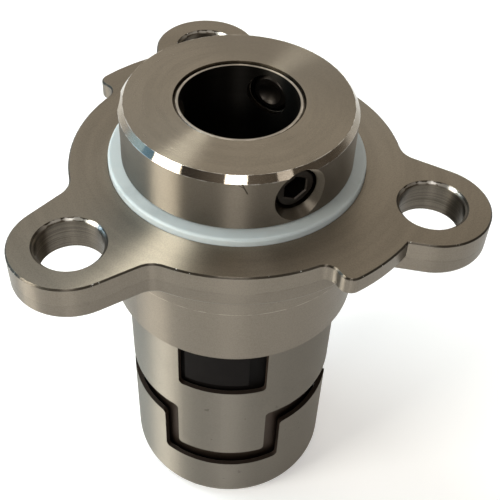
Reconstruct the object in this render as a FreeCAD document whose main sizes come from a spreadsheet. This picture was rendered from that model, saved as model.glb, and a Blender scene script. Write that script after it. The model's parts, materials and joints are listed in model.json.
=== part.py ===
"""Cartridge mechanical seal for a 22 mm pump shaft.

Millimetres. The origin is on the shaft's axis in the plane of the cover flange's mounting face,
and +Z points out of the pump, towards the drive collar. The pump's head is below that plane.
"""
import FreeCAD, Part
import Sketcher
import math
import os
from FreeCAD import Placement, Rotation, Vector

# Driving dimensions. Radii and lengths are in millimetres, turns and reaches in degrees.
SIZES = {
    # shaft sleeve
    "shaft_radius": 11.0,
    "sleeve_wall": 1.0,
    "sleeve_drop": 0.4,
    "sleeve_rim_bevel": 0.5,
    "foot_step": 2.5,
    "foot_rise": 7.2,
    "nose_step": 1.8,
    "nose_length": 2.6,
    "sleeve_ring_groove_depth": 1.9,
    "sleeve_ring_groove_width": 2.5,
    "sleeve_ring_groove_lift": 2.2,
    # drive collar
    "collar_wall": 9.8,
    "collar_height": 11.6,
    "collar_bevel_across": 0.9,
    "collar_bevel_down": 1.3,
    "collar_edge_bevel": 0.3,
    "collar_fit": 0.03,
    # set screws
    "screw_radius": 4.02,
    "screw_hole_radius": 4.1,
    "screw_length": 8.2,
    "screw_tip_gap": 0.6,
    "screw_countersink_radius": 5.4,
    "screw_countersink_depth": 1.7,
    "screw_cup_radius": 2.4,
    "screw_cup_depth": 0.9,
    "screw_point_bevel": 1.0,
    "screw_socket_flats": 4.8,
    "screw_socket_depth": 4.0,
    "screw_turn": -58.0,
    "screw_count": 3,
    # cover flange
    "flange_thickness": 7.2,
    "flange_overhang": 5.2,
    "flange_edge_bevel": 0.3,
    "flange_under_radius": 0.9,
    "flange_turn": 223.1,
    "bolt_circle_radius": 37.5,
    "bolt_hole_radius": 6.0,
    "bolt_hole_bevel": 0.6,
    "ear_count": 3,
    "ear_radius": 10.75,
    "ear_root_half_width": 12.9,
    "ear_root_fillet": 4.5,
    "pry_tab_overhang": 5.5,
    "pry_tab_thickness": 3.4,
    "pry_tab_reach": 40.8,
    "pry_tab_corner": 2.2,
    "pry_tab_root_fillet": 2.5,
    "spigot_wall": 2.3,
    "spigot_length": 23.6,
    "spigot_edge_bevel": 0.4,
    "land_step": 1.5,
    "land_length": 8.4,
    "cover_groove_depth": 2.3,
    "cover_groove_width": 3.4,
    "cover_groove_lift": 1.6,
    "cover_ring_cord": 2.9,
    # centring ring
    "ring_overhang": 2.5,
    "ring_fit": 0.1,
    "ring_proud": 1.5,
    "ring_sunk": 2.5,
    "ring_edge_bevel": 0.5,
    # stationary seat
    "seat_top_depth": 2.5,
    "seat_height": 11.0,
    "seat_wall": 5.8,
    "seat_fit": 0.2,
    "seat_gap": 1.0,
    "seat_groove_depth": 1.8,
    "seat_groove_width": 2.6,
    "seat_groove_lift": 3.5,
    "seat_ring_cord": 1.9,
    "pin_radius": 1.25,
    "pin_count": 2,
    "pin_length": 5.5,
    "pin_sunk": 3.3,
    "pin_slot_fit": 0.15,
    # rotary face
    "face_film": 0.02,
    "face_gap": 0.5,
    "face_nose_step": 1.7,
    "face_nose_wall": 3.4,
    "face_nose_height": 6.5,
    "face_shoulder": 3.2,
    "face_height": 26.4,
    "face_ring_room": 2.9,
    "face_pocket_depth": 3.4,
    "face_ring_cord": 2.7,
    "lug_inset": 0.7,
    "lug_half_angle": 18.0,
    "lug_height": 14.0,
    "lug_lift": 3.3,
    "lug_turn": 264.0,
    # driver cups
    "cup_room": 0.6,
    "cup_wall": 1.0,
    "cup_turn": 267.3,
    "cup_fit": 0.3,
    "drive_count": 3,
    "cup_corner": 1.0,
    "upper_cup_rise": 1.6,
    "upper_cup_height": 25.4,
    "slot_half_angle": 24.3,
    "slot_floor_gap": 2.0,
    "tab_half_angle": 25.3,
    "tab_length": 13.7,
    "web_thickness": 1.0,
    "web_gap": 0.8,
    "cup_gap": 5.4,
    "notch_half_angle": 35.0,
    "notch_depth": 13.3,
    "lower_cup_height": 27.0,
    "lower_cup_corner": 3.5,
    "base_dish_room": 2.6,
    "base_dish_height": 2.0,
    # spring and its pot
    "pot_gap": 0.8,
    "pot_wall": 0.8,
    "pot_headroom": 4.54,
    "washer_thickness": 1.2,
    "washer_edge_gap": 0.6,
    "washer_bore_gap": 0.6,
    "spring_gap": 1.0,
    "spring_wire_radius": 1.4,
    "spring_turns": 4.5,
    # retaining ring
    "snap_ring_thickness": 1.2,
    "snap_ring_proud": 1.6,
    "snap_ring_sunk": 0.8,
    "snap_ring_gap_half_angle": 12.0,
    "fit": 0.05,
}

doc = FreeCAD.newDocument("cartridge_seal")
sheet = doc.addObject("Spreadsheet::Sheet", "Sizes")
for row, (name, value) in enumerate(SIZES.items(), start=1):
    sheet.set(f"A{row}", name)
    sheet.set(f"B{row}", str(value))
    sheet.setAlias(f"B{row}", name)
doc.recompute()


class Expression(str):
    """A formula on the sheet's cells that adds, subtracts, multiplies and divides as text."""

    def __add__(self, other):
        return Expression(f"({self} + {other})")

    def __radd__(self, other):
        return Expression(f"({other} + {self})")

    def __sub__(self, other):
        return Expression(f"({self} - {other})")

    def __mul__(self, other):
        return Expression(f"({self} * {other})")

    def __truediv__(self, other):
        return Expression(f"({self} / {other})")

    def __neg__(self):
        return Expression(f"(0 - {self})")


def size(name):
    """The sheet's cell of this name, as an expression."""
    return Expression(f"Sizes.{name}")


def number(expression):
    """The present value of an expression or a plain number."""
    return float(sheet.evalExpression(str(expression)))


FULL_TURN = Expression("360")

# Levels along the shaft, from the mounting face
FLANGE_TOP = size("flange_thickness")
RECESS_FLOOR = FLANGE_TOP - size("ring_sunk")
COLLAR_BASE = FLANGE_TOP + size("ring_proud")
COLLAR_TOP = COLLAR_BASE + size("collar_height")
SCREW_LEVEL = COLLAR_BASE + size("collar_height") / 2
SLEEVE_TOP = COLLAR_TOP - size("sleeve_drop")
SPIGOT_END = -size("spigot_length")
LAND_END = -size("land_length")
SEAT_TOP = -size("seat_top_depth")
SEAT_FACE = SEAT_TOP - size("seat_height")
FACE_TOP = SEAT_FACE - size("face_film")
FACE_BASE = FACE_TOP - size("face_height")
UPPER_CUP_TOP = SPIGOT_END + size("upper_cup_rise")
UPPER_CUP_EDGE = UPPER_CUP_TOP - size("upper_cup_height")
TAB_END = UPPER_CUP_EDGE - size("tab_length")
LUG_BASE = FACE_BASE + size("lug_lift")
SLOT_FLOOR = LUG_BASE - size("slot_floor_gap")
WEB_TOP = FACE_BASE - size("face_film")
WEB_BASE = WEB_TOP - size("web_thickness")
WASHER_TOP = WEB_BASE - size("face_film")
WASHER_BASE = WASHER_TOP - size("washer_thickness")
LOWER_CUP_TOP = UPPER_CUP_EDGE - size("cup_gap")
NOTCH_FLOOR = LOWER_CUP_TOP - size("notch_depth")
LOWER_CUP_END = LOWER_CUP_TOP - size("lower_cup_height")
BASE_UNDER = LOWER_CUP_END + size("base_dish_height")
BASE_TOP = BASE_UNDER + size("cup_wall")
NOSE_END = BASE_TOP - size("nose_length")
POT_FLOOR = BASE_TOP + size("pot_wall")
POT_TOP = WASHER_BASE - size("pot_headroom")

# Radii, outwards from the shaft
SLEEVE_RADIUS = size("shaft_radius") + size("sleeve_wall")
FOOT_RADIUS = SLEEVE_RADIUS + size("foot_step")
NOSE_RADIUS = SLEEVE_RADIUS + size("nose_step")
SNAP_GROOVE_RADIUS = NOSE_RADIUS - size("snap_ring_sunk")
SNAP_RING_RADIUS = NOSE_RADIUS + size("snap_ring_proud")
COLLAR_RADIUS = SLEEVE_RADIUS + size("collar_wall")
RING_RADIUS = COLLAR_RADIUS + size("ring_overhang")
RECESS_RADIUS = RING_RADIUS + size("ring_fit")
SEAT_BORE_RADIUS = SLEEVE_RADIUS + size("seat_gap")
SEAT_RADIUS = SEAT_BORE_RADIUS + size("seat_wall")
PIN_PLACE = (SEAT_BORE_RADIUS + SEAT_RADIUS) / 2
FACE_BORE_RADIUS = SLEEVE_RADIUS + size("face_gap")
FACE_NOSE_BORE = FACE_BORE_RADIUS + size("face_nose_step")
FACE_NOSE_RADIUS = FACE_NOSE_BORE + size("face_nose_wall")
FACE_RADIUS = FACE_NOSE_RADIUS + size("face_shoulder")
CUP_INNER = FACE_RADIUS + size("cup_room")
CUP_RADIUS = CUP_INNER + size("cup_wall")
POT_RADIUS = CUP_INNER - size("pot_gap")
CUP_BORE_RADIUS = CUP_RADIUS + size("cup_fit")
SPIGOT_RADIUS = CUP_BORE_RADIUS + size("spigot_wall")
LAND_RADIUS = SPIGOT_RADIUS + size("land_step")
FLANGE_RADIUS = LAND_RADIUS + size("flange_overhang")
PRY_TAB_RADIUS = FLANGE_RADIUS + size("pry_tab_overhang")
COVER_GROOVE_RADIUS = LAND_RADIUS - size("cover_groove_depth")
ROOT_RADIUS = (RECESS_RADIUS + FLANGE_RADIUS) / 2
EAR_ROOT = Expression(f"sqrt({ROOT_RADIUS}^2 - {size('ear_root_half_width')}^2)")


def new_body(name):
    """An empty body whose label is the sub-part's name."""
    body = doc.addObject("PartDesign::Body", name)
    body.Label = name
    return body


def origin_feature(body, role):
    """A plane or axis of the body's own origin."""
    return next(feature for feature in body.Origin.OriginFeatures if feature.Role == role)


def sketch_on(body, name, role, lift=None, turn=None):
    """A sketch on an origin plane, raised by lift along the plane's normal and turned about it.

    On the upright XZ plane, turn swings the sketch about the shaft's axis instead.
    """
    sketch = body.newObject("Sketcher::SketchObject", name)
    sketch.AttachmentSupport = [(origin_feature(body, role), "")]
    sketch.MapMode = "FlatFace"
    axis = Vector(0, 1, 0) if role == "XZ_Plane" else Vector(0, 0, 1)
    angle = number(turn) if turn is not None else 0.0
    sketch.AttachmentOffset = Placement(Vector(), Rotation(axis, angle))
    if lift is not None:
        sketch.setExpression("AttachmentOffset.Base.z", lift)
    if turn is not None:
        sketch.setExpression("AttachmentOffset.Rotation.Angle", str(turn))
    return sketch


# How a sketch names its origin, its own X axis and the points of a line or an arc
ORIGIN = (-1, 1)
X_AXIS = -1
START, END, CENTRE = range(1, 4)


def dimension(sketch, kind, value, *where):
    """A dimension of the sketch that follows an expression."""
    index = sketch.addConstraint(Sketcher.Constraint(kind, *where, number(value)))
    sketch.setExpression(f"Constraints[{index}]", str(value))


def hold_point(sketch, piece, point, place):
    """Ties a point of a line or an arc to the distances (across, up) from the sketch's origin."""
    across, up = place
    dimension(sketch, "DistanceX", across, *ORIGIN, piece, point)
    dimension(sketch, "DistanceY", up, *ORIGIN, piece, point)


def join(sketch, *joints):
    """Joins points of lines and arcs, each joint given as (piece, point, piece, point)."""
    for joint in joints:
        sketch.addConstraint(Sketcher.Constraint("Coincident", *joint))


def outline(sketch, corners):
    """A closed outline of straight sides through corners, each a pair of expressions."""
    points = [Vector(number(across), number(up), 0) for across, up in corners]
    lines = [
        sketch.addGeometry(Part.LineSegment(start, end))
        for start, end in zip(points, points[1:] + points[:1])
    ]
    for line, following in zip(lines, lines[1:] + lines[:1]):
        join(sketch, (line, END, following, START))
    for line, corner in zip(lines, corners):
        hold_point(sketch, line, START, corner)
    return sketch


def circle(sketch, across, up, radius):
    """A circle whose centre is (across, up) from the sketch's origin."""
    centre = Vector(number(across), number(up), 0)
    ring = sketch.addGeometry(Part.Circle(centre, Vector(0, 0, 1), number(radius)))
    dimension(sketch, "Radius", radius, ring)
    hold_point(sketch, ring, CENTRE, (across, up))
    return sketch


def sector(sketch, inner, outer, half_angle):
    """A piece of a ring, centred on the sketch's X, with true arcs inside and outside."""
    swing = math.radians(number(half_angle))
    circles = [Part.Circle(Vector(), Vector(0, 0, 1), number(radius)) for radius in (inner, outer)]
    near_arc, far_arc = (Part.ArcOfCircle(ring, -swing, swing) for ring in circles)
    inside = sketch.addGeometry(near_arc)
    outside = sketch.addGeometry(far_arc)
    low = sketch.addGeometry(Part.LineSegment(near_arc.StartPoint, far_arc.StartPoint))
    high = sketch.addGeometry(Part.LineSegment(near_arc.EndPoint, far_arc.EndPoint))
    join(
        sketch,
        (inside, CENTRE, *ORIGIN),
        (outside, CENTRE, *ORIGIN),
        (low, START, inside, START),
        (low, END, outside, START),
        (high, START, inside, END),
        (high, END, outside, END),
    )
    cosine = Expression(f"cos({half_angle} * 1deg)")
    sine = Expression(f"sin({half_angle} * 1deg)")
    for radius, point in ((inner, START), (outer, END)):
        hold_point(sketch, low, point, (radius * cosine, -(radius * sine)))
        dimension(sketch, "DistanceY", radius * sine, *ORIGIN, high, point)
    return sketch


def turned(body, name, corners):
    """A ring turned from an outline of (radius, height) corners about the shaft's axis."""
    sketch = outline(sketch_on(body, f"{name}_outline", "XZ_Plane"), corners)
    ring = body.newObject("PartDesign::Revolution", name)
    ring.Profile = sketch
    ring.ReferenceAxis = (sketch, ["V_Axis"])
    ring.Angle = 360.0
    doc.recompute()
    return ring


def padded(body, name, sketch, length, upward=True, cut=False):
    """Pushes a sketch along its plane's normal, or against it, to add or cut a prism."""
    kind = "PartDesign::Pocket" if cut else "PartDesign::Pad"
    prism = body.newObject(kind, name)
    prism.Profile = sketch
    prism.setExpression("Length", str(length))
    prism.Reversed = upward if cut else not upward
    doc.recompute()
    return prism


def around(body, name, features, count):
    """Repeats features about the shaft's axis."""
    pattern = body.newObject("PartDesign::PolarPattern", name)
    pattern.Originals = features
    pattern.Axis = (origin_feature(body, "Z_Axis"), [""])
    pattern.Angle = 360.0
    pattern.setExpression("Occurrences", str(count))
    body.Tip = pattern
    doc.recompute()
    return pattern


def edges_where(feature, wanted):
    """The names of a feature's edges that pass a test on the edge."""
    return [f"Edge{i}" for i, edge in enumerate(feature.Shape.Edges, start=1) if wanted(edge)]


def softened(body, name, kind, feature, wanted, amount):
    """A fillet or chamfer on the edges that pass a test."""
    edges = edges_where(feature, wanted)
    softening = body.newObject(f"PartDesign::{kind}", name)
    softening.Base = (feature, edges)
    softening.setExpression("Radius" if kind == "Fillet" else "Size", str(amount))
    doc.recompute()
    return softening


SLACK = 0.02


def near(value, goal):
    """Whether a length is the wanted one."""
    return abs(value - goal) < SLACK


def lies_at(edge, level):
    """Whether an edge lies flat at a level."""
    return near(edge.BoundBox.ZMin, level) and near(edge.BoundBox.ZMax, level)


def ends(edge):
    """An edge's first and last points, the same point twice on a full circle."""
    return edge.Vertexes[0].Point, edge.Vertexes[-1].Point


def upright(edge):
    """Whether an edge runs parallel to the shaft."""
    first, last = ends(edge)
    rise = abs(last.z - first.z)
    return rise > SLACK and from_axis(last - first) < SLACK


def from_axis(point):
    """A point's distance from the shaft's axis."""
    return (point.x ** 2 + point.y ** 2) ** 0.5


def azimuth(point):
    """A point's angle about the shaft's axis, in degrees from the body's own X."""
    return math.degrees(math.atan2(point.y, point.x))


def through_wall(edge, level, inner, outer):
    """Whether an edge crosses a tube's wall at a level."""
    low, high = sorted(from_axis(point) for point in ends(edge))
    return lies_at(edge, level) and near(low, inner) and near(high, outer)


def make_shaft_sleeve():
    """Turned tube on the shaft, with a thick foot that carries the lower cup and the shaft's O-ring."""
    body = new_body("shaft_sleeve")
    bore = size("shaft_radius")
    bevel = size("sleeve_rim_bevel")
    foot_top = BASE_TOP + size("foot_rise")
    snap_top = BASE_UNDER
    snap_base = BASE_UNDER - size("snap_ring_thickness") - size("fit")
    groove_base = BASE_TOP + size("sleeve_ring_groove_lift")
    groove_top = groove_base + size("sleeve_ring_groove_width")
    groove_radius = bore + size("sleeve_ring_groove_depth")
    turned(body, "sleeve_body", [
        (bore, NOSE_END),
        (NOSE_RADIUS, NOSE_END),
        (NOSE_RADIUS, snap_base),
        (SNAP_GROOVE_RADIUS, snap_base),
        (SNAP_GROOVE_RADIUS, snap_top),
        (NOSE_RADIUS, snap_top),
        (NOSE_RADIUS, BASE_TOP),
        (FOOT_RADIUS, BASE_TOP),
        (FOOT_RADIUS, foot_top),
        (SLEEVE_RADIUS, foot_top + (FOOT_RADIUS - SLEEVE_RADIUS)),
        (SLEEVE_RADIUS, SLEEVE_TOP - bevel),
        (SLEEVE_RADIUS - bevel, SLEEVE_TOP),
        (bore, SLEEVE_TOP),
        (bore, groove_top),
        (groove_radius, groove_top),
        (groove_radius, groove_base),
        (bore, groove_base),
    ])
    opening = sketch_on(body, "screw_window_outline", "YZ_Plane")
    circle(opening, "0", SCREW_LEVEL, size("screw_hole_radius") + size("ring_fit"))
    window = padded(body, "screw_window", opening, COLLAR_RADIUS, cut=True)
    around(body, "screw_windows", [window], size("screw_count"))
    turn(body, size("screw_turn"))
    return body


def turn(body, angle):
    """Swings a finished body about the shaft's axis."""
    body.Placement = Placement(Vector(), Rotation(Vector(0, 0, 1), number(angle)))
    body.setExpression("Placement.Rotation.Angle", str(angle))


def make_drive_collar():
    """Thick clamping collar with three countersunk threaded holes for the set screws."""
    body = new_body("drive_collar")
    outer = COLLAR_RADIUS
    inner = SLEEVE_RADIUS + size("collar_fit")
    edge = size("collar_edge_bevel")
    turned(body, "collar_body", [
        (inner, COLLAR_BASE),
        (outer - edge, COLLAR_BASE),
        (outer, COLLAR_BASE + edge),
        (outer, COLLAR_TOP - size("collar_bevel_down")),
        (outer - size("collar_bevel_across"), COLLAR_TOP),
        (inner, COLLAR_TOP),
    ])
    start = size("shaft_radius")
    hole = size("screw_hole_radius")
    mouth = size("screw_countersink_radius")
    beyond = size("screw_countersink_depth")
    sketch = sketch_on(body, "screw_hole_outline", "XZ_Plane")
    outline(sketch, [
        (start, SCREW_LEVEL),
        (start, SCREW_LEVEL + hole),
        (outer - beyond, SCREW_LEVEL + hole),
        (outer, SCREW_LEVEL + mouth),
        (outer + beyond, SCREW_LEVEL + mouth),
        (outer + beyond, SCREW_LEVEL),
    ])
    groove = body.newObject("PartDesign::Groove", "screw_hole")
    groove.Profile = sketch
    groove.ReferenceAxis = (sketch, ["Edge6"])
    groove.Angle = 360.0
    doc.recompute()
    around(body, "screw_holes", [groove], size("screw_count"))
    turn(body, size("screw_turn"))
    return body


def make_set_screw(index):
    """Cup-point socket screw, turned about its own axis along +X and then swung to its hole."""
    body = new_body(f"set_screw_{index + 1}")
    tip = size("shaft_radius") + size("screw_tip_gap")
    head = tip + size("screw_length")
    radius = size("screw_radius")
    bevel = size("screw_point_bevel")
    sketch = sketch_on(body, "screw_outline", "XZ_Plane")
    outline(sketch, [
        (tip + size("screw_cup_depth"), SCREW_LEVEL),
        (tip, SCREW_LEVEL + size("screw_cup_radius")),
        (tip, SCREW_LEVEL + radius - bevel),
        (tip + bevel, SCREW_LEVEL + radius),
        (head - bevel / 2, SCREW_LEVEL + radius),
        (head, SCREW_LEVEL + radius - bevel / 2),
        (head, SCREW_LEVEL),
    ])
    shank = body.newObject("PartDesign::Revolution", "shank")
    shank.Profile = sketch
    shank.ReferenceAxis = (sketch, ["Edge7"])
    shank.Angle = 360.0
    doc.recompute()
    socket = sketch_on(body, "socket_outline", "YZ_Plane", lift=head)
    flats = size("screw_socket_flats")
    corner = flats / math.sqrt(3)
    outline(socket, [
        (corner, SCREW_LEVEL),
        (corner / 2, SCREW_LEVEL + flats / 2),
        (-corner / 2, SCREW_LEVEL + flats / 2),
        (-corner, SCREW_LEVEL),
        (-corner / 2, SCREW_LEVEL - flats / 2),
        (corner / 2, SCREW_LEVEL - flats / 2),
    ])
    padded(body, "socket", socket, size("screw_socket_depth"), upward=False, cut=True)
    turn(body, size("screw_turn") + FULL_TURN * index / size("screw_count"))
    return body


def make_cover_flange():
    """Cover: a round plate with three bolt ears and two thin pry tabs, on a bored spigot."""
    body = new_body("cover_flange")
    top_bevel = size("flange_edge_bevel")
    spigot_bevel = size("spigot_edge_bevel")
    pocket = SEAT_RADIUS + size("seat_fit")
    groove_top = -size("cover_groove_lift")
    groove_base = groove_top - size("cover_groove_width")
    turned(body, "hub", [
        (SEAT_BORE_RADIUS, FLANGE_TOP),
        (SEAT_BORE_RADIUS, SEAT_TOP),
        (pocket, SEAT_TOP),
        (pocket, SEAT_FACE),
        (CUP_BORE_RADIUS, SEAT_FACE - (CUP_BORE_RADIUS - pocket)),
        (CUP_BORE_RADIUS, SPIGOT_END + spigot_bevel),
        (CUP_BORE_RADIUS + spigot_bevel, SPIGOT_END),
        (SPIGOT_RADIUS - spigot_bevel, SPIGOT_END),
        (SPIGOT_RADIUS, SPIGOT_END + spigot_bevel),
        (SPIGOT_RADIUS, LAND_END),
        (LAND_RADIUS, LAND_END),
        (LAND_RADIUS, groove_base),
        (COVER_GROOVE_RADIUS, groove_base),
        (COVER_GROOVE_RADIUS, groove_top),
        (LAND_RADIUS, groove_top),
        (LAND_RADIUS, "0"),
        (FLANGE_RADIUS, "0"),
        (FLANGE_RADIUS, FLANGE_TOP),
    ])
    ear = padded(body, "ear", ear_outline(body), size("flange_thickness"))
    ears = around(body, "ears", [ear], size("ear_count"))
    rim = number(FLANGE_RADIUS)
    top = number(FLANGE_TOP)

    def at_ear_root(edge):
        return upright(edge) and near(edge.Length, top) and near(from_axis(ends(edge)[0]), rim)

    rooted = softened(
        body, "ear_roots", "Fillet", ears, at_ear_root, size("ear_root_fillet")
    )
    wet_rim = number(LAND_RADIUS)

    def at_under_edge(edge):
        return lies_at(edge, 0) and from_axis(ends(edge)[0]) > wet_rim + SLACK

    softened(body, "under_edge", "Fillet", rooted, at_under_edge, size("flange_under_radius"))
    tab = padded(body, "pry_tab", pry_tab_outline(body), size("pry_tab_thickness"), upward=False)
    tabs = body.newObject("PartDesign::Mirrored", "pry_tabs")
    tabs.Originals = [tab]
    tabs.MirrorPlane = (origin_feature(body, "XZ_Plane"), [""])
    body.Tip = tabs
    doc.recompute()
    free_end = number(FULL_TURN / size("ear_count") - size("pry_tab_reach"))
    tab_height = number(size("pry_tab_thickness"))
    tab_rim = number(PRY_TAB_RADIUS)

    def at_tab_end(edge, radius):
        start = ends(edge)[0]
        at_end = near(abs(azimuth(start)), free_end) and near(from_axis(start), radius)
        return upright(edge) and near(edge.Length, tab_height) and at_end

    rounded = softened(
        body, "tab_corners", "Fillet", tabs,
        lambda edge: at_tab_end(edge, tab_rim), size("pry_tab_corner"),
    )
    softened(
        body, "tab_roots", "Fillet", rounded,
        lambda edge: at_tab_end(edge, rim), size("pry_tab_root_fillet"),
    )
    recess = sketch_on(body, "recess_outline", "XY_Plane", FLANGE_TOP)
    circle(recess, "0", "0", RECESS_RADIUS)
    padded(body, "recess", recess, size("ring_sunk"), upward=False, cut=True)
    hole = sketch_on(body, "bolt_hole_outline", "XY_Plane")
    circle(hole, size("bolt_circle_radius"), "0", size("bolt_hole_radius"))
    drilled = padded(body, "bolt_hole", hole, size("flange_thickness"), cut=True)
    holes = around(body, "bolt_holes", [drilled], size("ear_count"))
    hole_radius = number(size("bolt_hole_radius"))

    def at_hole_mouth(edge):
        round_edge = hasattr(edge.Curve, "Radius") and near(edge.Curve.Radius, hole_radius)
        return round_edge and near(edge.BoundBox.ZLength, 0)

    softened(body, "hole_bevels", "Chamfer", holes, at_hole_mouth, size("bolt_hole_bevel"))
    dowel = sketch_on(body, "pin_hole_outline", "XY_Plane", SEAT_TOP)
    circle(dowel, PIN_PLACE, "0", size("pin_radius"))
    bored = padded(body, "pin_hole", dowel, size("pin_sunk") + size("ring_fit"), cut=True)
    pin_holes = around(body, "pin_holes", [bored], size("pin_count"))
    recess_rim = number(RECESS_RADIUS)
    mouth = number(size("bolt_hole_radius") + size("bolt_hole_bevel"))

    def at_top_edge(edge):
        hole_rim = hasattr(edge.Curve, "Radius") and near(edge.Curve.Radius, mouth)
        outside = from_axis(ends(edge)[0]) > recess_rim + SLACK
        return lies_at(edge, top) and outside and not hole_rim

    softened(body, "top_bevel", "Chamfer", pin_holes, at_top_edge, top_bevel)
    turn(body, size("flange_turn"))
    return body


def ear_outline(body):
    """A round-ended ear along +X whose flanks widen to root corners just inside the rim."""
    sketch = sketch_on(body, "ear_outline", "XY_Plane")
    half_width = size("ear_root_half_width")
    root_place = number(EAR_ROOT)
    half = number(half_width)
    reach = number(size("bolt_circle_radius"))
    radius = number(size("ear_radius"))
    quarter = math.pi / 2
    tip = Part.Circle(Vector(reach, 0, 0), Vector(0, 0, 1), radius)
    upper = sketch.addGeometry(
        Part.LineSegment(Vector(root_place, half, 0), Vector(reach, radius, 0))
    )
    end = sketch.addGeometry(Part.ArcOfCircle(tip, -quarter, quarter))
    lower = sketch.addGeometry(
        Part.LineSegment(Vector(reach, -radius, 0), Vector(root_place, -half, 0))
    )
    root = sketch.addGeometry(
        Part.LineSegment(Vector(root_place, -half, 0), Vector(root_place, half, 0))
    )
    sketch.addConstraint([
        Sketcher.Constraint("Tangent", upper, END, end, END),
        Sketcher.Constraint("Tangent", end, START, lower, START),
        Sketcher.Constraint("PointOnObject", end, CENTRE, X_AXIS),
        Sketcher.Constraint("Symmetric", upper, START, lower, END, X_AXIS),
    ])
    join(sketch, (lower, END, root, START), (root, END, upper, START))
    hold_point(sketch, upper, START, (EAR_ROOT, half_width))
    dimension(sketch, "DistanceX", size("bolt_circle_radius"), *ORIGIN, end, CENTRE)
    dimension(sketch, "Radius", size("ear_radius"), end)
    return sketch


def pry_tab_outline(body):
    """A piece of a ring, from the second ear's centre line back towards the first ear."""
    half = size("pry_tab_reach") / 2
    middle = FULL_TURN / size("ear_count") - half
    sketch = sketch_on(body, "pry_tab_outline", "XY_Plane", FLANGE_TOP, middle)
    return sector(sketch, ROOT_RADIUS, PRY_TAB_RADIUS, half)


def make_ring(name, cord_radius, centre_radius, level):
    """A round-section ring about the shaft's axis."""
    ring = doc.addObject("Part::Torus", name)
    ring.Label = name
    ring.setExpression("Radius1", str(centre_radius))
    ring.setExpression("Radius2", str(cord_radius))
    ring.setExpression("Placement.Base.z", str(level))
    return ring


def make_centring_ring():
    """Plastic ring in the cover's recess that the collar rests on and that centres the sleeve."""
    body = new_body("centring_ring")
    inner = SLEEVE_RADIUS + size("fit")
    edge = size("ring_edge_bevel")
    ring = turned(body, "ring_body", [
        (inner, RECESS_FLOOR),
        (RING_RADIUS, RECESS_FLOOR),
        (RING_RADIUS, COLLAR_BASE),
        (inner, COLLAR_BASE),
    ])
    outer = number(RING_RADIUS)
    level = number(COLLAR_BASE)

    def top_corner(edge):
        return lies_at(edge, level) and near(from_axis(ends(edge)[0]), outer)

    softened(body, "ring_edge", "Fillet", ring, top_corner, edge)
    return body


def make_stationary_seat():
    """Seat ring with an O-ring groove and two slots in its back for the pins."""
    body = new_body("stationary_seat")
    outer = SEAT_RADIUS
    groove_base = SEAT_FACE + size("seat_groove_lift")
    groove_top = groove_base + size("seat_groove_width")
    turned(body, "seat_body", [
        (SEAT_BORE_RADIUS, SEAT_FACE),
        (outer, SEAT_FACE),
        (outer, groove_base),
        (outer - size("seat_groove_depth"), groove_base),
        (outer - size("seat_groove_depth"), groove_top),
        (outer, groove_top),
        (outer, SEAT_TOP),
        (SEAT_BORE_RADIUS, SEAT_TOP),
    ])
    half = size("pin_radius") + size("pin_slot_fit")
    depth = size("pin_length") - size("pin_sunk") + size("ring_fit")
    slot = sketch_on(body, "pin_slot_outline", "XY_Plane", SEAT_TOP)
    middle = PIN_PLACE
    outline(slot, [
        (SEAT_BORE_RADIUS - half, -half),
        (middle + half, -half),
        (middle + half, half),
        (SEAT_BORE_RADIUS - half, half),
    ])
    cut = padded(body, "pin_slot", slot, depth, upward=False, cut=True)
    around(body, "pin_slots", [cut], size("pin_count"))
    turn(body, size("flange_turn"))
    return body


def make_seat_pin(index):
    """Dowel between the cover and a slot in the seat's back, so that the seat can't turn."""
    body = new_body(f"seat_pin_{index + 1}")
    low = SEAT_TOP - size("pin_length") + size("pin_sunk")
    sketch = sketch_on(body, "pin_outline", "XY_Plane", low)
    circle(sketch, PIN_PLACE, "0", size("pin_radius"))
    padded(body, "pin", sketch, size("pin_length"))
    turn(body, size("flange_turn") + FULL_TURN * index / size("pin_count"))
    return body


def make_rotary_face():
    """Hard face ring with a narrow running nose, an O-ring pocket below and three drive lugs."""
    body = new_body("rotary_face")
    shoulder = FACE_TOP - size("face_nose_height")
    pocket_top = FACE_BASE + size("face_pocket_depth")
    pocket = SLEEVE_RADIUS + size("face_ring_room")
    turned(body, "ring_body", [
        (FACE_NOSE_BORE, FACE_TOP),
        (FACE_NOSE_RADIUS, FACE_TOP),
        (FACE_NOSE_RADIUS, shoulder),
        (FACE_RADIUS, shoulder),
        (FACE_RADIUS, FACE_BASE),
        (pocket, FACE_BASE),
        (pocket, pocket_top - (pocket - FACE_BORE_RADIUS) / 2),
        (FACE_BORE_RADIUS, pocket_top),
        (FACE_BORE_RADIUS, shoulder),
        (FACE_NOSE_BORE, shoulder),
    ])
    lug = sketch_on(body, "lug_outline", "XY_Plane", LUG_BASE)
    sector(lug, FACE_NOSE_RADIUS, CUP_RADIUS - size("lug_inset"), size("lug_half_angle"))
    raised = padded(body, "lug", lug, size("lug_height"))
    around(body, "lugs", [raised], size("drive_count"))
    turn(body, size("lug_turn"))
    return body


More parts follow.
